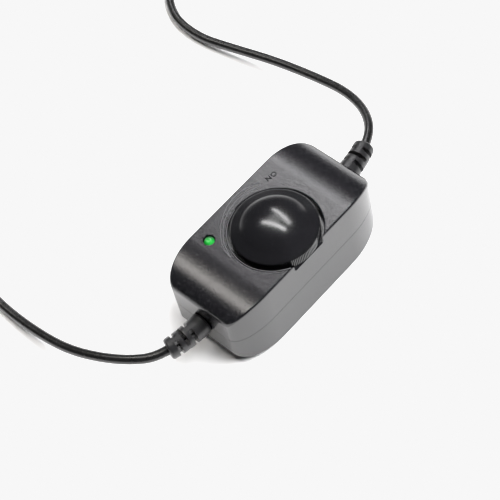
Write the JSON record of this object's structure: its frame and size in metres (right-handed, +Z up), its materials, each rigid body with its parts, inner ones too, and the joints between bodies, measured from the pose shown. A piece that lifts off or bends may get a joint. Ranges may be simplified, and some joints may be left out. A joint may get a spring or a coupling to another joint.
{
  "type": "rotary dimmer switch",
  "caption": "In-line rotary dimmer with a domed, finely knurled knob, a green indicator lamp and a lead at each end, one with a barrel plug and one with a socket.",
  "frame": {"origin": "middle of the housing's underside, on the surface that it rests on", "axes": "+X along the housing towards the input lead, +Z up through the knob, -Y the long side that the knob shows through"},
  "size_m": [0.1755, 0.1713, 0.0342],
  "materials": {
    "housing_plastic": "fine grained satin",
    "knob_plastic": "polished",
    "soft_black": "soft moulded",
    "cord_black": "smooth jacket",
    "plated_steel": "bright plated",
    "nickel": "nickel plated",
    "brass": "turned",
    "phenolic": "pressed laminate",
    "board_laminate": "lacquered",
    "capacitor_sleeve": "shrunk sleeve",
    "component_black": "moulded",
    "resistor_tan": "lacquered",
    "disc_ceramic": "dipped",
    "lamp_green": "tinted clear",
    "wire_red": "smooth",
    "wire_black": "smooth",
    "insulator_black": "moulded"
  },
  "bodies": {
    "housing": {"top_cover": "housing_plastic", "bottom_cover": "housing_plastic", "housing_screws": "plated_steel", "pot_bushing": "brass", "pot_washer": "plated_steel", "pot_nut": "plated_steel", "pot_case": "plated_steel", "pot_wafer": "phenolic", "pot_switch": "phenolic", "pot_terminals": "brass", "circuit_board": "board_laminate", "filter_capacitor": "capacitor_sleeve", "power_transistor": "component_black", "transistor_tab": "plated_steel", "timer_chip": "component_black", "timer_chip_legs": "plated_steel", "resistors": "resistor_tan", "diode": "component_black", "disc_capacitors": "disc_ceramic", "indicator_led": "lamp_green", "led_leads": "plated_steel", "input_wire_positive": "wire_red", "input_wire_negative": "wire_black", "output_wire_positive": "wire_red", "output_wire_negative": "wire_black", "input_strain_relief": "soft_black", "output_strain_relief": "soft_black", "input_cord": "cord_black", "output_cord": "cord_black", "output_plug_body": "soft_black", "output_plug_barrel": "nickel", "output_plug_insulator": "insulator_black", "output_plug_contact": "nickel", "input_socket_body": "soft_black", "input_socket_liner": "nickel", "input_socket_pin": "nickel"},
    "knob": {"dimmer_knob": "knob_plastic", "pot_shaft": "plated_steel", "pot_wiper": "phenolic"}
  },
  "joints": [
    {"name": "knob_turn", "type": "hinge", "parent": "housing", "child": "knob", "pos_m": [0, -0.00315, 0.0257], "axis": [0, 0, 1], "range_deg": [-150, 150]}
  ]
}
